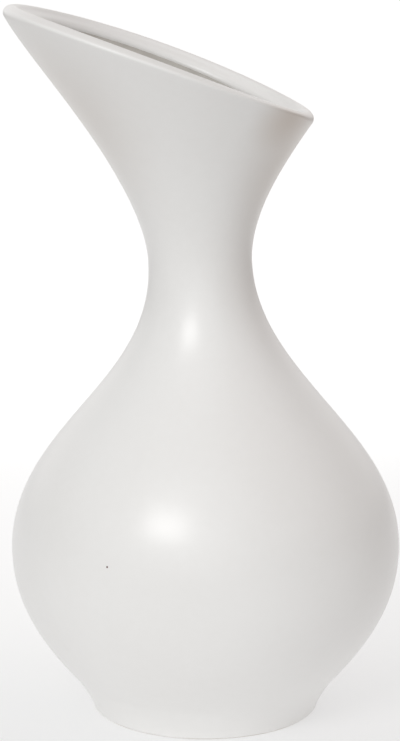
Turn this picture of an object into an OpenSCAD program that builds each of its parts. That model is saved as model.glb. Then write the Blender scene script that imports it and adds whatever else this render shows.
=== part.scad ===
// Round-bellied vase with a slim leaning neck and a trumpet mouth cut on a slant.
// The foot ring, the belly and the neck are clay sections luted together, under two glazes.
// Millimetres, +Z up. The foot stands on z = 0, and the belly is centred on the Z axis.
// Sizes are those of the glazed outside, and the clay lies inside them.

/* [Overall] */
// Height of the lip's tip above the table
height = 306; // [290:1:330]
// Thickness of the clay below the neck
wall = 3.6; // [2.6:0.1:4.6]
// Thickness of the clay at the lip
lip_wall = 6.2; // [4:0.1:7]
// Thickness of each coat of glaze
glaze = 0.4; // [0.2:0.05:0.6]

/* [Foot] */
// Diameter of the foot
foot_d = 97; // [88:1:106]
// Height of the foot ring
foot_h = 8; // [6:0.5:10]
// Width of the clay in the foot ring
foot_ring_w = 9; // [7:0.5:12]
// Rounding of the ring's two lower edges
foot_edge_r = 2; // [1:0.25:2.5]
// Height of the bare clay below the outside glaze
bare_h = 3; // [2.5:0.25:5]
// How far the collar stays upright above the rounding
collar_rise = 2; // [1:0.5:4]
// How far the collar follows the belly's side below the place where they meet
collar_pull = 4; // [2:0.5:6]

/* [Belly] */
// Diameter where the belly leaves the collar above the foot
base_d = 115; // [111:1:119]
// Height of that place
base_z = 15; // [13:0.5:18]
// Angle of the side there, from upright
base_angle = 42; // [36:1:48]
// Largest diameter
belly_d = 168; // [156:1:180]
// Height of the largest diameter
belly_z = 72; // [64:1:80]
// Thickness of the clay floor
floor_t = 5; // [4:0.5:7]
// How far the underside keeps its angle before it rounds up
under_pull = 30; // [22:1:36]
// How far the side stays upright below the largest diameter
side_pull = 18; // [14:1:24]
// How far the side stays upright above it
shoulder_pull = 50; // [42:1:58]

/* [Neck] */
// Height of the seam where the neck is luted to the belly
seam_z = 146; // [132:1:160]
// Smallest diameter
neck_d = 44.2; // [38:0.2:52]
// Height of the smallest diameter
neck_z = 196; // [188:1:206]
// How far the neck stays slim below its smallest diameter
waist_pull = 52; // [44:1:58]
// How far it stays slim above
throat_pull = 35; // [28:1:42]
// Sideways lean of the neck, for each 100 mm that it rises
lean = 4.2; // [0:0.2:7]

/* [Mouth] */
// Reach of the lip's tip from the neck's own axis
tip_r = 79.8; // [72:0.2:88]
// Angle of the mouth's side at the tip, from upright
tip_angle = 16; // [10:1:24]
// How far the side keeps that angle below the tip
tip_pull = 19; // [14:1:24]
// Fall of the lip's line where it leaves the tip
lip_fall = 15.5; // [8:0.5:20]
// Radius of the lip's line, which droops along its way
lip_arch_r = 930; // [700:10:1400]
// How far the outside glaze is carried over the lip and down inside
lip_lap = 7; // [4:0.5:12]

/* [Hidden] */
$fn = 128;

foot_r = foot_d / 2;
base_r = base_d / 2;
belly_r = belly_d / 2;
neck_r = neck_d / 2;
floor_z = foot_h + floor_t;

// Room by which a cutting shape passes the clay
spare = wall;
// Height of the rough mouth, before the lip is cut
rough_top = height + 4 * lip_wall;
// Closest that two outline points may lie in height
least_step = glaze / 8;

// Depths below the outside at the body and at the lip
outside = [0, 0];
clay_face = [glaze, glaze];
clay_core = [glaze + wall / 2, glaze + lip_wall / 2];
clay_back = [glaze + wall, glaze + lip_wall];
lined_back = [2 * glaze + wall, 2 * glaze + lip_wall];
past_back = [2 * glaze + wall + spare, 2 * glaze + lip_wall + spare];

// Centre of the lip's line, seen from the front in the neck's own frame
lip_x = -tip_r - lip_arch_r * sin(lip_fall);
lip_z = height - lip_arch_r * cos(lip_fall);

function bezier(a, b, c, d, t) =
    pow(1 - t, 3) * a + 3 * t * pow(1 - t, 2) * b + 3 * t * t * (1 - t) * c + pow(t, 3) * d;

// A smooth stretch of outline, without its last point
function stretch(a, b, c, d, steps) = [for (i = [0 : steps - 1]) bezier(a, b, c, d, i / steps)];

function rising(angle) = [sin(angle), cos(angle)];

foot_top = [foot_r, foot_edge_r];
base = [base_r, base_z];
widest = [belly_r, belly_z];
waist = [neck_r, neck_z];
tip = [tip_r, height];

collar = stretch(foot_top, foot_top + [0, collar_rise], base - collar_pull * rising(base_angle), base, 6);
under = stretch(base, base + under_pull * rising(base_angle), widest - [0, side_pull], widest, 14);
shoulder = stretch(widest, widest + [0, shoulder_pull], waist - [0, waist_pull], waist, 24);
flare = stretch(waist, waist + [0, throat_pull], tip - tip_pull * rising(tip_angle), tip, 18);
past_tip = tip + 8 * lip_wall / cos(tip_angle) * rising(tip_angle);

// The glazed outside, from the foot's edge to past the tip
outline = concat(collar, under, shoulder, flare, [past_tip]);
last = len(outline) - 1;

function unit(v) = v / norm(v);
function along(i) = unit(outline[min(i + 1, last)] - outline[max(i - 1, 0)]);
function toward_lip(z) = min(1, max(0, (z - neck_z) / (height - neck_z)));
function depth_at(depth, z) = depth[0] + (depth[1] - depth[0]) * toward_lip(z);

// The outline moved into the wall by a depth
function skin(depth) =
    [for (i = [0 : last]) outline[i] + depth_at(depth, outline[i].y) * [-along(i).y, along(i).x]];

function radius_at(line, z) = lookup(z, [for (p = line) [p.y, p.x]]);

// The part of a line between two heights
function band(line, low, high) = concat(
    [[radius_at(line, low), low]],
    [for (p = line) if (p.y > low + least_step && p.y < high - least_step) p],
    [[radius_at(line, high), high]]
);

function reversed(line) = [for (i = [len(line) - 1 : -1 : 0]) line[i]];

// A turned wall between two depths
module turned(outer, inner, low, high) {
    rotate_extrude() polygon(concat(band(skin(outer), low, high), reversed(band(skin(inner), low, high))));
}

// Everything that lies a given drop below the lip's line
module under_lip(drop) {
    translate([lip_x, 0, lip_z]) rotate([90, 0, 0])
        cylinder(r = lip_arch_r - drop, h = 4 * tip_r, center = true, $fn = 720);
}

// Leans the neck about its seam
module leaning() {
    multmatrix([[1, 0, -lean / 100, lean / 100 * seam_z], [0, 1, 0, 0], [0, 0, 1, 0], [0, 0, 0, 1]]) children();
}

// A quarter round, from the ground up
function quarter(r, side) = [for (a = [0 : 15 : 90]) r * [side * sin(a), 1 - cos(a)]];

module foot_ring() {
    clay_r = foot_r - glaze;
    inner_r = clay_r - foot_ring_w;
    outer_edge = [for (p = quarter(foot_edge_r, 1)) [clay_r - foot_edge_r, 0] + p];
    inner_edge = [for (p = quarter(foot_edge_r, -1)) [inner_r + foot_edge_r, 0] + p];
    side = band(skin(clay_face), foot_edge_r + least_step, foot_h);
    color("tan") rotate_extrude() polygon(concat(outer_edge, side, [[inner_r, foot_h]], reversed(inner_edge)));
}

module belly() {
    face = band(skin(clay_face), foot_h, seam_z);
    back = band(skin(clay_back), floor_z, seam_z);
    color("wheat") rotate_extrude() polygon(concat([[0, foot_h]], face, reversed(back), [[0, floor_z]]));
}

module neck_and_mouth() {
    color("burlywood") leaning() intersection() {
        turned(clay_face, clay_back, seam_z, rough_top);
        under_lip(glaze);
    }
}

module outer_glaze() {
    color("ivory") {
        turned(outside, clay_face, bare_h, seam_z);
        leaning() difference() {
            intersection() {
                turned(outside, lined_back, seam_z, rough_top);
                under_lip(0);
            }
            intersection() {
                turned(clay_face, clay_back, seam_z, rough_top);
                under_lip(glaze);
            }
            intersection() {
                turned(clay_core, past_back, seam_z, rough_top);
                under_lip(lip_lap);
            }
        }
    }
}

module liner_glaze() {
    back = band(skin(clay_back), floor_z, seam_z);
    front = band(skin(lined_back), floor_z + glaze, seam_z);
    color("gray") {
        rotate_extrude() polygon(concat([[0, floor_z]], back, reversed(front), [[0, floor_z + glaze]]));
        leaning() intersection() {
            turned(clay_back, lined_back, seam_z, rough_top);
            under_lip(lip_lap);
        }
    }
}

foot_ring();
belly();
neck_and_mouth();
outer_glaze();
liner_glaze();
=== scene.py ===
import math
from bisect import bisect_right

import bmesh
import bpy
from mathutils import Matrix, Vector, noise


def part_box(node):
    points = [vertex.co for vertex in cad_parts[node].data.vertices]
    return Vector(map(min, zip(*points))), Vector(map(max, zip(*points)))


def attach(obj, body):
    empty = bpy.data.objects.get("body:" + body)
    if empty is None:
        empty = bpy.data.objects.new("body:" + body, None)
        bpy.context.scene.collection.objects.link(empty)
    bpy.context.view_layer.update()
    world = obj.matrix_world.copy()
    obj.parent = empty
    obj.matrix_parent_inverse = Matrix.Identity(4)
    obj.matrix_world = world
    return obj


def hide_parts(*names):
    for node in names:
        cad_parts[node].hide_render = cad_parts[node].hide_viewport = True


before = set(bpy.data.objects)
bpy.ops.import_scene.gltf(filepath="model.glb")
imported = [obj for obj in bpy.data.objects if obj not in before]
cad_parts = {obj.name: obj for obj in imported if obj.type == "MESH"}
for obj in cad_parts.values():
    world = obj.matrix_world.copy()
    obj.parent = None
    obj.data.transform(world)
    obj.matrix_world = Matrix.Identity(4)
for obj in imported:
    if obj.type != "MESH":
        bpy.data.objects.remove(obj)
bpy.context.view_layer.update()  # the packed clay and glaze, which stay where they are
mm = 0.001
print("frame loaded with", len(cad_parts), "nodes")


# The camera stands in front of the vase and looks a little down on it

viewer = {
    "place": (0, -0.95, 0.336),
    "tilt": -11.16,  # degrees up
    "turn": 0.146,  # degrees to the left
    "focalLength": 2257,  # in pixels of the picture
    "pictureHeight": 741,
    "sensorHeight": 36,  # mm
    "nearest": 0.01,  # where its view starts
}


def makeCamera():
    lens = bpy.data.cameras.new("camera")
    lens.sensor_fit = "VERTICAL"
    lens.sensor_height = viewer["sensorHeight"]
    lens.lens = viewer["focalLength"] / viewer["pictureHeight"] * viewer["sensorHeight"]
    lens.clip_start = viewer["nearest"]
    camera = bpy.data.objects.new("camera", lens)
    camera.location = viewer["place"]
    camera.rotation_euler = (math.radians(90 + viewer["tilt"]), 0, math.radians(viewer["turn"]))
    bpy.context.scene.collection.objects.link(camera)
    bpy.context.scene.camera = camera


makeCamera()
print("camera placed")


# The turned form that all five pieces share

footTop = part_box("foot_ring")[1].z
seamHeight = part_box("belly")[1].z
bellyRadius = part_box("outer_glaze")[1].x
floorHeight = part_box("liner_glaze")[0].z

form = {
    "footRadius": 49 * mm,
    "footEdge": 0.4 * mm,  # rounding of the foot's lower edges
    "collarRise": 2.5 * mm,  # how far the collar stays upright
    "collarPull": 2.5 * mm,
    "baseRadius": 57.4 * mm,  # where the belly leaves the collar
    "baseHeight": 15.2 * mm,
    "baseAngle": 42.3,  # degrees from upright
    "underPull": 27.5 * mm,
    "sidePull": 19.6 * mm,
    "bellyHeight": 72 * mm,
    "shoulderPull": 49.8 * mm,
    "waistPull": 51.7 * mm,
    "neckRadius": 22.1 * mm,
    "neckHeight": 196 * mm,
    "throatPull": 37.8 * mm,
    "tipRadius": 82.7 * mm,  # from the neck's bent axis
    "tipHeight": 305 * mm,
    "tipAngle": 14.5,
    "tipPull": 18.5 * mm,
    "bend": 3.65 * mm,  # sideways step of the neck's axis
    "bendLow": 140 * mm,
    "bendHigh": 233 * mm,
}

wall = {
    "clay": 3.6 * mm,
    "lipClay": 6.2 * mm,
    "coat": 0.4 * mm,  # each glaze
    "cornerRise": 9 * mm,  # rounding between the inside and its floor
    "cornerRun": 12 * mm,
}

lip = {
    "middle": 276.9 * mm,  # height of the cut over the belly's axis
    "slope": 0.376,  # fall towards the low side
    "arch": 811 * mm,  # radius of its droop
    "roll": 0.0071,  # rise towards the back
    "twist": 0.122,  # change of the roll, for each metre
    "level": 0.4,  # 0 is cut square to the wall, 1 is cut along the line
    "outerEdge": 1.1 * mm,  # roundings
    "endEdge": 3.2 * mm,  # the outer one at the tip and at the low end
    "endFrom": 0.8,  # where the ends start, as a share of the way to them
    "flat": 0.2 * mm,  # left between the roundings
    "innerEdge": 3.5 * mm,
    "above": 4,  # how far over the tip its height is looked for, in lip thicknesses
    "halvings": 40,  # of that search
}

mesh = {
    "around": 192,  # faces round the vase
    "collarRows": 10,
    "underRows": 28,
    "shoulderRows": 52,
    "flareRows": 44,
    "edgeRows": 8,  # over each of the lip's rounded edges
    "lapRows": 10,  # where the white glaze comes down inside
    "floorRows": 8,  # over the floor, round its corner and under the base
    "footRows": 6,  # up the foot and over each of its lower edges
    "outlinePoints": 8,  # points of the drawn outline for each row
    "rowGap": 0.5 * mm,  # least height between two rows
    "sharpFrom": 50,  # degrees between two faces
}

wobble = {
    "depth": 0.12 * mm,  # unevenness left by the mould and the kiln
    "size": 55 * mm,
}


def bezier(a, b, c, d, steps):
    for i in range(steps):
        t = i / steps
        s = 1 - t
        yield s * s * s * a + 3 * s * s * t * b + 3 * s * t * t * c + t * t * t * d


def rising(angle):
    return Vector((math.sin(math.radians(angle)), math.cos(math.radians(angle))))


def drawOutline(finer):
    foot = Vector((form["footRadius"], form["footEdge"]))
    base = Vector((form["baseRadius"], form["baseHeight"]))
    widest = Vector((bellyRadius, form["bellyHeight"]))
    waist = Vector((form["neckRadius"], form["neckHeight"]))
    tip = Vector((form["tipRadius"], form["tipHeight"]))
    leaving = rising(form["baseAngle"])
    ending = rising(form["tipAngle"])
    upright = Vector((0, 1))
    stretches = [  # rows, start, pull away from it, pull into the end, end
        ("collarRows", foot, form["collarRise"] * upright, form["collarPull"] * leaving, base),
        ("underRows", base, form["underPull"] * leaving, form["sidePull"] * upright, widest),
        ("shoulderRows", widest, form["shoulderPull"] * upright, form["waistPull"] * upright, waist),
        ("flareRows", waist, form["throatPull"] * upright, form["tipPull"] * ending, tip),
    ]
    points = []
    for rows, start, away, into, end in stretches:
        points += bezier(start, start + away, end - into, end, mesh[rows] * finer)
    return points + [tip, tip + 2 * lip["above"] * wall["lipClay"] * ending]  # runs on past the tip


outline = drawOutline(mesh["outlinePoints"])
heights = [point.y for point in outline]
rowHeights = [point.y for point in drawOutline(1) if point.y < form["neckHeight"] - mesh["rowGap"]]


def smooth(t):
    t = min(max(t, 0), 1)
    return t * t * (3 - 2 * t)


def outlineAt(height):  # the outside there and its rising direction
    i = min(max(bisect_right(heights, height), 2), len(outline) - 2)
    below, above = outline[i - 1], outline[i]
    t = (height - below.y) / (above.y - below.y)
    before = (below - outline[i - 2]).normalized()
    after = (outline[i + 1] - above).normalized()
    return below.lerp(above, t), before.lerp(after, t).normalized()


def wallPoint(height, depth):  # a point inside the wall, straight in from the outside
    point, up = outlineAt(height)
    return point + depth * Vector((-up.y, up.x))


def thicknessAt(height):  # clay and both coats
    share = (height - form["neckHeight"]) / (form["tipHeight"] - form["neckHeight"])
    body = wall["clay"] + (wall["lipClay"] - wall["clay"]) * min(max(share, 0), 1)
    return body + 2 * wall["coat"]


def bendAt(height):
    return -form["bend"] * smooth((height - form["bendLow"]) / (form["bendHigh"] - form["bendLow"]))


def placed(point, angle):  # from the half section to its place round the vase
    x, y = math.cos(angle), math.sin(angle)
    spot = Vector((x * bellyRadius, y * bellyRadius, point.y)) / wobble["size"]
    radius = point.x + wobble["depth"] * noise.noise(spot) * smooth(point.x / form["neckRadius"])
    return Vector((bendAt(point.y) + radius * x, radius * y, point.y))


def lipLine(x, y):
    fall = lip["slope"] * x + x ** 2 / (2 * lip["arch"])
    return lip["middle"] - fall + (lip["roll"] + lip["twist"] * x) * y


def lipHeightAt(angle):  # where the middle of the wall reaches the lip's line
    low, high = form["neckHeight"], form["tipHeight"] + lip["above"] * wall["lipClay"]
    for step in range(lip["halvings"]):
        height = (low + high) / 2
        middle = placed(wallPoint(height, thicknessAt(height) / 2), angle)
        if middle.z < lipLine(middle.x, middle.y):
            low = height
        else:
            high = height
    return low


def lipEdges(angle):  # its height, and of both roundings the place out and up, radius and turn
    height = lipHeightAt(angle)
    up, half = outlineAt(height)[1], thicknessAt(height) / 2
    inner, outer = [placed(wallPoint(height, depth), angle) for depth in (2 * half, 0)]
    run = math.hypot(outer.x, outer.y) - math.hypot(inner.x, inner.y)
    rise = lipLine(outer.x, outer.y) - lipLine(inner.x, inner.y)
    slant = lip["level"] * (math.atan2(up.x, up.y) + math.atan2(rise, run))
    end = smooth((abs(math.cos(angle)) - lip["endFrom"]) / (1 - lip["endFrom"]))
    outerEdge = lip["outerEdge"] + (lip["endEdge"] - lip["outerEdge"]) * end
    innerEdge = min(lip["innerEdge"], 2 * half - outerEdge - lip["flat"])
    edges = []
    for out, radius, first, last in (
        (half - outerEdge, outerEdge, 0, math.pi / 2 + slant),
        (innerEdge - half, innerEdge, math.pi / 2 + slant, math.pi),
    ):
        edges.append((out, out * math.tan(slant) - radius / math.cos(slant), radius, first, last))
    return height, edges


angles = [2 * math.pi * i / mesh["around"] for i in range(mesh["around"])]
rims = [lipEdges(angle) for angle in angles]
print("outline drawn, lip from", round(min(rims)[0], 4), "to", round(max(rims)[0], 4))


def rowsUp(low, high):  # level rows to the neck, then rows that turn into the slanting lip
    rows = [low] + [height for height in rowHeights if height > low + mesh["rowGap"]]
    waist, count = form["neckHeight"], mesh["flareRows"]
    return rows + [waist + (high - waist) * i / count for i in range(count + 1)]


def overLip(i, shave):  # from its outside to its inside, without the two ends, which are on the wall
    height, edges = rims[i]
    points = []
    for out, up, radius, first, last in edges:
        for k in range(mesh["edgeRows"] + 1):
            turn = first + (last - first) * k / mesh["edgeRows"]
            across = out + (radius - shave) * math.cos(turn)
            points.append(lipPoint(height, across, up + (radius - shave) * math.sin(turn)))
    return points[1:-1]


def lipPoint(height, across, rise):
    thick = thicknessAt(height)
    there = height + rise * outlineAt(height)[1].y
    return wallPoint(there, (0.5 - across / thick) * thicknessAt(there))


def lipEnds(i):  # heights where the two roundings leave the wall
    height, edges = rims[i]
    return [height + edge[1] * outlineAt(height)[1].y for edge in edges]


def insideCorner(depth, floor):  # from the floor's middle, round the corner and up to the wall
    rise, rows = floor + wall["cornerRise"], mesh["floorRows"]
    side, up = wallPoint(rise, depth), outlineAt(rise)[1]
    ground = Vector((side.x - wall["cornerRun"], floor))
    level = Vector((wall["cornerRun"] / 2, 0))
    flat = [Vector((ground.x * i / rows, floor)) for i in range(rows)]
    return flat + list(bezier(ground, ground + level, side - wall["cornerRise"] / 2 * up, side, rows)), rise


def makePiece(name, columns, closed, marks=()):  # a skin over matching points on every side of the vase
    count, rows = len(columns), len(columns[0])
    build = bmesh.new()
    for mark, values in marks:
        build.verts.layers.float.new(mark)
    grid = []
    for i in range(count):
        column = []
        for j in range(rows):
            onAxis = not closed and j in (0, rows - 1)
            vertex = grid[0][j] if onAxis and i else build.verts.new(placed(columns[i][j], angles[i]))
            for mark, values in marks:
                vertex[build.verts.layers.float[mark]] = values[j]
            column.append(vertex)
        grid.append(column)
    for i in range(count):
        here, there = grid[i], grid[(i + 1) % count]
        for j in range(rows if closed else rows - 1):
            k = (j + 1) % rows
            corners = [here[j], there[j], there[k], here[k]]
            build.faces.new(list(dict.fromkeys(corners))).smooth = True
    bmesh.ops.recalc_face_normals(build, faces=build.faces)
    data = bpy.data.meshes.new(name)
    build.to_mesh(data)
    build.free()
    data.set_sharp_from_angle(angle=math.radians(mesh["sharpFrom"]))
    piece = bpy.data.objects.new(name, data)
    bpy.context.scene.collection.objects.link(piece)
    print("made", name, "with", len(data.polygons), "faces")
    return piece


def finishPiece(piece, node, material):
    piece.data.materials.append(material)
    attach(piece, "root")
    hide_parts(node)


# Nodes that are written as sums

class Wire:  # one output of a node
    def __init__(self, paint, socket):
        self.paint = paint
        self.socket = socket

    def maths(self, operation, first, second):
        return self.paint.node("ShaderNodeMath", {"operation": operation}, {0: first, 1: second})

    def __add__(self, other):
        return self.maths("ADD", self, other)

    def __radd__(self, other):
        return self.maths("ADD", other, self)

    def __sub__(self, other):
        return self.maths("SUBTRACT", self, other)

    def __rsub__(self, other):
        return self.maths("SUBTRACT", other, self)

    def __mul__(self, other):
        return self.maths("MULTIPLY", self, other)

    def __rmul__(self, other):
        return self.maths("MULTIPLY", other, self)

    def __pow__(self, other):
        return self.maths("POWER", self, other)

    def __rpow__(self, other):
        return self.maths("POWER", other, self)

    def __abs__(self):
        return self.maths("ABSOLUTE", self, 0)

    def atLeast(self, low):
        return self.maths("MAXIMUM", self, low)


class Paint:  # a material, or the room's light, and its nodes
    def __init__(self, name, tree=None):
        if not tree:
            self.material = bpy.data.materials.new(name)
            self.material.use_nodes = True
            tree = self.material.node_tree
        self.tree = tree
        self.tree.nodes.clear()

    def node(self, kind, settings=None, sockets=None, output=0):
        made = self.tree.nodes.new(kind)
        for key, value in (settings or {}).items():
            setattr(made, key, value)
        for key, value in (sockets or {}).items():
            if isinstance(value, Wire):
                self.tree.links.new(value.socket, made.inputs[key])
            else:
                made.inputs[key].default_value = value
        return Wire(self, made.outputs[output]) if made.outputs else made

    def place(self, kind="Object"):
        return self.node("ShaderNodeTexCoord", output=kind)

    def mark(self, name):  # a value set on the points of a piece
        return self.node("ShaderNodeAttribute", {"attribute_name": name}, output="Fac")

    def clouds(self, size, detail=2, rough=0.5):  # soft noise with spots of that size, from 0 to 1
        sockets = {"Vector": self.place(), "Scale": 1 / size, "Detail": detail, "Roughness": rough}
        return self.node("ShaderNodeTexNoise", {}, sockets)

    def band(self, value, low, high):  # 0 below, 1 above, smooth between
        sockets = {"Value": value, "From Min": low, "From Max": high}
        return self.node("ShaderNodeMapRange", {"interpolation_type": "SMOOTHSTEP"}, sockets)

    def patches(self, coarse, fine, share, low=0.3, high=0.7):  # where the second of two colours shows
        return self.band((1 - share) * coarse + share * fine, low, high)

    def vary(self, middle, change, clouds):
        return middle + change * (clouds - 0.5)  # clouds lie round a half

    def mix(self, share, first, second):
        sockets = {0: share, 6: first, 7: second}
        return self.node("ShaderNodeMix", {"data_type": "RGBA"}, sockets, 2)

    def spot(self, place, radius, core=0):  # 1 in the core of a place on the object, 0 outside the radius
        sockets = {0: self.place(), 1: place}
        distance = self.node("ShaderNodeVectorMath", {"operation": "DISTANCE"}, sockets, "Value")
        return 1 - self.band(distance, core, radius)

    def bump(self, height, depth):  # depth is the height, in metres, of a full step
        sockets = {"Height": height, "Distance": depth, "Strength": 1}
        return self.node("ShaderNodeBump", {}, sockets)

    def finish(self, sockets):
        shader = self.node("ShaderNodeBsdfPrincipled", {}, sockets)
        self.node("ShaderNodeOutputMaterial", {}, {"Surface": shader})
        return self.material


# White satin glaze over the outside, the lip and the first part of the inside

whiteGlaze = {
    "lap": 6.1 * mm,  # how far it comes down inside, from the lip's rounding
    "lapSlant": 1.05 * mm,  # how much further at the tip, and less at the low end
    "bead": 1.05 * mm,  # swelling at its end
    "beadLength": 5 * mm,
    "nose": 2.2 * mm,  # length of its rounded end
    "noseTurns": (30, 60, 80),  # degrees round that end
    "footLine": 0.6 * mm,  # its lower edge
    "rollDepth": 0.4,  # rounding of the lower edge, as a share of the coat
    "rollTurns": (0.8, 1.57, 2.3),  # radians round that edge
    "unevenEdge": 0.2 * mm,
    "lapWaves": (9, 3),  # how quickly the edge inside wanders, and its own level in the noise
    "footWaves": (6, 0),
    "cloudSize": 70 * mm,
    "fineSize": 4 * mm,
    "fineShare": 0.25,
    "colour": (0.865, 0.855, 0.84, 1),
    "deepColour": (0.89, 0.882, 0.87, 1),
    "thinColour": (0.83, 0.815, 0.79, 1),
    "thinShare": 0.2,  # of that colour on the lip
    # colour of the painted warm shade on the flare
    "shadeColour": (0.52, 0.42, 0.34, 1),
    "paintedShades": [  # painted warm shade down the right of the flare and neck, under the low corner of the lip, and on the left of the flare: place, radius, strength
        ((35 * mm, -36 * mm, 261 * mm), 24 * mm, 0.5),
        ((60 * mm, -22 * mm, 236 * mm), 58 * mm, 0.75),
        ((56 * mm, -10 * mm, 200 * mm), 60 * mm, 0.5),
        ((-72 * mm, -25 * mm, 250 * mm), 66 * mm, 0.35),
    ],
    "speckColour": (0.10, 0.03, 0.025, 1),
    "speckPlace": (-39.7 * mm, -73 * mm, 82.2 * mm),
    "speckRadius": 0.55 * mm,
    "speckCore": 0.5,  # dark part, as a share of the radius
    "roughness": 0.3,
    "roughnessChange": 0.06,
    "fineRoughness": 0.04,
    "refraction": 1.55,
    "peel": 1.8 * mm,  # size of the fine unevenness of the surface
    "peelDepth": 0.006 * mm,
}


def wander(i, waves):  # of an edge round the vase
    quick, level = whiteGlaze[waves]
    spot = Vector((quick * math.cos(angles[i]), quick * math.sin(angles[i]), level))
    return whiteGlaze["unevenEdge"] * noise.noise(spot)


def lapHeights(i):  # heights inside, from the lip down to the end of the white glaze
    start = lipEnds(i)[1]
    lap = whiteGlaze["lap"] - whiteGlaze["lapSlant"] * math.cos(angles[i])
    fall = outlineAt(start)[1].y * (lap - whiteGlaze["nose"]) + wander(i, "lapWaves")
    return [start - fall * k / mesh["lapRows"] for k in range(mesh["lapRows"] + 1)]


def whiteSection(i):  # its points, and the marks on them for the paint
    coat, down = wall["coat"], lapHeights(i)
    end = down[-1]
    low = whiteGlaze["footLine"] + wander(i, "footWaves")
    up = rowsUp(low, lipEnds(i)[0])
    length = min(whiteGlaze["beadLength"], down[0] - end)
    swell = [whiteGlaze["bead"] * smooth(1 - (z - end) / length) for z in down]
    outside = [wallPoint(z, 0) for z in up]
    inside = [wallPoint(z, thicknessAt(z) + extra) for z, extra in zip(down, swell)]
    nose = []
    for turn in whiteGlaze["noseTurns"]:
        step = whiteGlaze["nose"] * math.sin(math.radians(turn))
        rise = (coat + whiteGlaze["bead"]) * math.cos(math.radians(turn))
        nose.append(wallPoint(end - step, thicknessAt(end) - coat + rise))
    back = [wallPoint(z, thicknessAt(z) - coat) for z in [end - whiteGlaze["nose"]] + down[::-1]]
    face = [wallPoint(z, coat) for z in up[::-1]]
    roll = []
    for turn in whiteGlaze["rollTurns"]:
        drop = whiteGlaze["rollDepth"] * coat * math.sin(turn)
        roll.append(wallPoint(low - drop, coat / 2 * (1 + math.cos(turn))))
    over = overLip(i, 0)
    sides = [outside, over, inside, nose, back, overLip(i, coat)[::-1], face, roll]
    points = [point for side in sides for point in side]
    across = [k / len(over) for k in range(len(over))]
    rest = [0.0] * (len(points) - len(outside) - len(over))
    thin = [0.0] * len(outside) + [math.sin(math.pi * share) for share in across] + rest
    outer = [1.0] * len(outside) + [1 - share for share in across] + rest
    return points, [("thin", thin), ("outer", outer)]


def whiteGlazePaint():
    paint = Paint("whiteGlaze")
    clouds = paint.clouds(whiteGlaze["cloudSize"])
    fine = paint.clouds(whiteGlaze["fineSize"], detail=3, rough=0.6)
    thin, outer = paint.mark("thin"), paint.mark("outer")
    patches = paint.patches(clouds, fine, whiteGlaze["fineShare"])
    colour = paint.mix(patches, whiteGlaze["colour"], whiteGlaze["deepColour"])
    colour = paint.mix(whiteGlaze["thinShare"] * thin * fine, colour, whiteGlaze["thinColour"])
    # painted warm shade, mixed into the colour on the outside
    for place, radius, strength in whiteGlaze["paintedShades"]:
        shadeShare = strength * outer * paint.spot(place, radius)
        colour = paint.mix(shadeShare, colour, whiteGlaze["shadeColour"])
    core = whiteGlaze["speckCore"] * whiteGlaze["speckRadius"]
    speck = paint.spot(whiteGlaze["speckPlace"], whiteGlaze["speckRadius"], core)
    colour = paint.mix(speck, colour, whiteGlaze["speckColour"])
    roughness = paint.vary(whiteGlaze["roughness"], whiteGlaze["roughnessChange"], clouds)
    roughness = paint.vary(roughness, whiteGlaze["fineRoughness"], fine)
    peel = paint.bump(paint.clouds(whiteGlaze["peel"], detail=1), whiteGlaze["peelDepth"])
    return paint.finish({
        "Base Color": colour,
        "Roughness": roughness,
        "Normal": peel,
        "IOR": whiteGlaze["refraction"],
    })


sections = [whiteSection(i) for i in range(mesh["around"])]
whiteSkin = makePiece("whiteGlaze", [section[0] for section in sections], True, sections[0][1])
finishPiece(whiteSkin, "outer_glaze", whiteGlazePaint())


# Grey glaze poured through the inside

linerGlaze = {
    "tuck": 0.9,  # how far its edge lies under the white glaze's nose, as a share of the nose
    "crown": 0.3,  # rounding of that edge, as a share of the coat
    "colour": (0.42, 0.40, 0.37, 1),
    "paleColour": (0.52, 0.50, 0.465, 1),
    "roughness": 0.38,
    "roughnessChange": 0.1,
    "refraction": 1.5,
    "runSize": 16 * mm,
    "fineSize": 2.5 * mm,
    "fineShare": 0.2,
    "rippleDepth": 0.02 * mm,
}


def linerSection(i):
    coat = wall["coat"]
    top = lapHeights(i)[-1] - linerGlaze["tuck"] * whiteGlaze["nose"]
    front, rise = insideCorner(thicknessAt(0), floorHeight + coat)
    rear, rearRise = insideCorner(thicknessAt(0) - coat, floorHeight)
    points = front + [wallPoint(z, thicknessAt(z)) for z in rowsUp(rise, top)]
    points.append(wallPoint(top + linerGlaze["crown"] * coat, thicknessAt(top) - coat / 2))
    points += [wallPoint(z, thicknessAt(z) - coat) for z in rowsUp(rearRise, top)[::-1]]
    return points + rear[::-1]


def linerGlazePaint():
    paint = Paint("linerGlaze")
    runs = paint.clouds(linerGlaze["runSize"], detail=3)
    fine = paint.clouds(linerGlaze["fineSize"])
    patches = paint.patches(runs, fine, linerGlaze["fineShare"])
    colour = paint.mix(patches, linerGlaze["colour"], linerGlaze["paleColour"])
    roughness = paint.vary(linerGlaze["roughness"], linerGlaze["roughnessChange"], runs)
    ripple = paint.bump(runs, linerGlaze["rippleDepth"])
    return paint.finish({
        "Base Color": colour,
        "Roughness": roughness,
        "Normal": ripple,
        "IOR": linerGlaze["refraction"],
    })


liner = makePiece("linerGlaze", [linerSection(i) for i in range(mesh["around"])], False)
finishPiece(liner, "liner_glaze", linerGlazePaint())


# Pale stoneware under the glazes, bare at the foot

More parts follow.
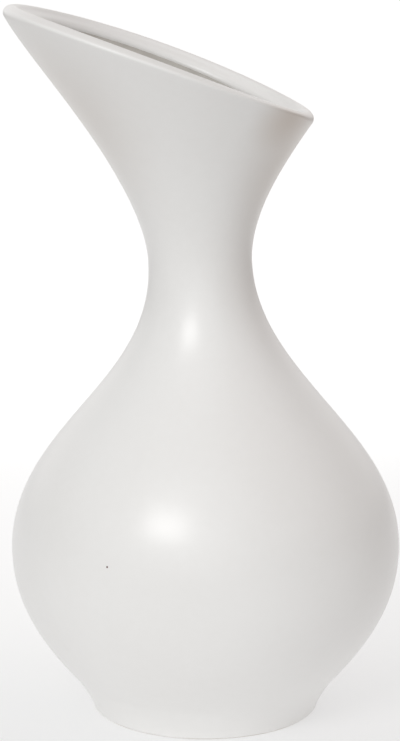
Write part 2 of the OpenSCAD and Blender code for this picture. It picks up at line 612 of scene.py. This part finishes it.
clay = {
    "colour": (0.74, 0.71, 0.66, 1),
    "paleColour": (0.80, 0.775, 0.735, 1),
    "grogColour": (0.52, 0.46, 0.39, 1),
    "cloudSize": 22 * mm,
    "grogSize": 1.1 * mm,
    "grogCore": 0.1,  # full colour, as a share of that size
    "grogEdge": 0.22,
    "grogShare": 0.5,
    "grogFrom": 0.45,  # the clouds that it starts to show in
    "grogFull": 0.6,
    "roughness": 0.86,
    "roughnessChange": 0.1,
    "grainSize": 0.5 * mm,
    "grainShare": 0.4,
    "grainDepth": 0.03 * mm,
    "ringWidth": 9 * mm,  # of the foot
    "domeRise": 0.6 * mm,  # hollow of the base inside the foot
}


def neckSection(i):
    coat, (outer, inner) = wall["coat"], lipEnds(i)
    points = [wallPoint(z, coat) for z in rowsUp(seamHeight, outer)] + overLip(i, coat)
    return points + [wallPoint(z, thicknessAt(z) - coat) for z in rowsUp(seamHeight, inner)[::-1]]


def bellySection():  # the same on every side
    coat = wall["coat"]
    rear, rise = insideCorner(thicknessAt(0) - coat, floorHeight)
    sides = [z for z in rowHeights if z < seamHeight - mesh["rowGap"]]
    outer = [footTop] + [z for z in sides if z > footTop + mesh["rowGap"]] + [seamHeight]
    inner = [rise] + [z for z in sides if z > rise + mesh["rowGap"]] + [seamHeight]
    reach = form["footRadius"] - coat - clay["ringWidth"]
    under = []
    for k in range(mesh["floorRows"] + 1):
        share = k / mesh["floorRows"]
        under.append(Vector((reach * share, footTop + clay["domeRise"] * (1 - share * share))))
    points = under + [wallPoint(z, coat) for z in outer]
    return points + [wallPoint(z, thicknessAt(z) - coat) for z in inner[::-1]] + rear[::-1]


def footSection():
    coat, edge, rows = wall["coat"], form["footEdge"], mesh["footRows"]
    outer = form["footRadius"] - coat
    inner = outer - clay["ringWidth"]
    turns = [math.pi / 2 * k / rows for k in range(rows + 1)]
    points = [wallPoint(edge + (footTop - edge) * k / rows, coat) for k in range(1, rows + 1)]
    points.append(Vector((inner, footTop)))
    points += [Vector((inner + edge - edge * math.cos(t), edge - edge * math.sin(t))) for t in turns]
    points += [Vector((outer - edge + edge * math.sin(t), edge - edge * math.cos(t))) for t in turns]
    return points


def clayPaint():
    paint = Paint("bareClay")
    clouds = paint.clouds(clay["cloudSize"], detail=3)
    grain = paint.clouds(clay["grainSize"], detail=3, rough=0.7)
    sockets = {"Vector": paint.place(), "Scale": 1 / clay["grogSize"]}
    cells = paint.node("ShaderNodeTexVoronoi", {}, sockets, "Distance")
    grog = 1 - paint.band(cells, clay["grogCore"], clay["grogEdge"])
    patches = paint.patches(clouds, grain, clay["grainShare"])
    colour = paint.mix(patches, clay["colour"], clay["paleColour"])
    shown = clay["grogShare"] * grog * paint.band(clouds, clay["grogFrom"], clay["grogFull"])
    colour = paint.mix(shown, colour, clay["grogColour"])
    roughness = paint.vary(clay["roughness"], clay["roughnessChange"], grain)
    grit = paint.bump(grain, clay["grainDepth"])
    return paint.finish({"Base Color": colour, "Roughness": roughness, "Normal": grit})


bareClay = clayPaint()
neck = makePiece("neckClay", [neckSection(i) for i in range(mesh["around"])], True)
finishPiece(neck, "neck_and_mouth", bareClay)
belly = makePiece("bellyClay", [bellySection()] * mesh["around"], False)
finishPiece(belly, "belly", bareClay)
foot = makePiece("footRing", [footSection()] * mesh["around"], True)
finishPiece(foot, "foot_ring", bareClay)


# The floor and the studio light

studio = {
    "floorRadius": 30,
    "floorSides": 128,
    "floorColour": (0.4, 0.4, 0.4, 1),
    "floorRoughness": 0.9,
    "glow": 0.2,  # light of the floor itself
    "backGlow": 0.54,  # added behind the vase
    "backStart": -0.1,  # from the vase's axis
    "backEnd": 0.6,
    "backWidth": 0.1,  # half of it at the vase
    "backSpread": 0.11,  # how much wider for each metre behind
    "backSoft": 0.8,
    "nearGlow": 0.28,  # added round the vase
    "nearStart": 0.08,
    "nearEnd": 0.5,
    "room": (0.215, 0.2, 0.19),
}

plain = (1, 1, 1)  # tints of the panels
cool = (0.95, 1.01, 1.03)
warm = (1.12, 0.95, 0.93)

panels = {  # soft panels round the room: degrees to the right of the camera and up, focus, strength, tint
    "front": (0, 10, 10, 0.55, plain),
    "frontHigh": (0, 40, 8, 0.78, cool),
    "frontLeft": (-35, 10, 10, 0.53, cool),
    "left": (-100, 50, 6, 0.33, cool),
    "right": (90, 50, 6, 0.34, warm),
    "backLeft": (-150, 10, 10, 0.79, plain),
    "back": (180, 10, 10, 0.43, plain),
    "backRight": (150, 10, 10, 0.78, plain),
    "top": (0, 90, 6, 0.44, plain),
}

softbox = {
    "turn": -27,  # degrees to the right of the camera, seen from the vase
    "rise": 35.2,
    "distance": 2.6,
    "size": (1.05, 0.72),
    "light": 7,  # of its face
    "target": (-0.012, -0.05, 0.135),
}


def pointing(turn, rise):
    turn, rise = math.radians(turn), math.radians(rise)
    return Vector((math.sin(turn) * math.cos(rise), -math.cos(turn) * math.cos(rise), math.sin(rise)))


def makeFloor():
    build = bmesh.new()
    sides, radius = studio["floorSides"], studio["floorRadius"]
    bmesh.ops.create_circle(build, cap_ends=True, segments=sides, radius=radius)
    data = bpy.data.meshes.new("floor")
    build.to_mesh(data)
    build.free()
    floor = bpy.data.objects.new("floor", data)
    bpy.context.scene.collection.objects.link(floor)
    paint = Paint("floor")
    back = paint.node("ShaderNodeSeparateXYZ", {}, {0: paint.place()}, "Y")
    side = paint.node("ShaderNodeSeparateXYZ", {}, {0: paint.place()}, "X")
    past = abs(side) - studio["backSpread"] * back  # the strip widens behind
    strip = 1 - paint.band(past, studio["backWidth"], studio["backWidth"] + studio["backSoft"])
    away = paint.node("ShaderNodeVectorMath", {"operation": "LENGTH"}, {0: paint.place()}, "Value")
    behind = strip * paint.band(back, studio["backStart"], studio["backEnd"])
    near = 1 - paint.band(away, studio["nearStart"], studio["nearEnd"])
    glow = studio["glow"] + studio["backGlow"] * behind + studio["nearGlow"] * near
    sockets = {"Base Color": studio["floorColour"], "Roughness": studio["floorRoughness"]}
    sockets.update({"Emission Color": glow, "Emission Strength": 1})
    data.materials.append(paint.finish(sockets))


def makeRoom():
    world = bpy.data.worlds.new("room")
    world.use_nodes = True
    paint = Paint(None, world.node_tree)
    light = paint.node("ShaderNodeCombineXYZ", {}, dict(enumerate(studio["room"])))
    for turn, rise, focus, strength, tint in panels.values():
        sockets = {0: paint.place("Generated"), 1: pointing(turn, rise)}
        facing = paint.node("ShaderNodeVectorMath", {"operation": "DOT_PRODUCT"}, sockets, "Value")
        share = strength * facing.atLeast(0) ** focus
        lit = paint.node("ShaderNodeVectorMath", {"operation": "SCALE"}, {0: tint, "Scale": share})
        light = paint.node("ShaderNodeVectorMath", {"operation": "ADD"}, {0: light, 1: lit})
    background = paint.node("ShaderNodeBackground", {}, {"Color": light})
    paint.node("ShaderNodeOutputWorld", {}, {"Surface": background})
    bpy.context.scene.world = world


def makeSoftbox():
    toward = pointing(softbox["turn"], softbox["rise"])
    width, height = softbox["size"]
    lamp = bpy.data.lights.new("softbox", "AREA")
    lamp.shape = "RECTANGLE"
    lamp.size, lamp.size_y = width, height
    lamp.energy = softbox["light"] * math.pi * width * height  # in watts
    box = bpy.data.objects.new("softbox", lamp)
    box.location = Vector(softbox["target"]) + softbox["distance"] * toward
    box.rotation_euler = toward.to_track_quat("Z", "Y").to_euler()
    box.visible_camera = False
    bpy.context.scene.collection.objects.link(box)


makeFloor()
makeRoom()
makeSoftbox()
bpy.context.scene.view_settings.view_transform = "Standard"
print("floor and lights set")
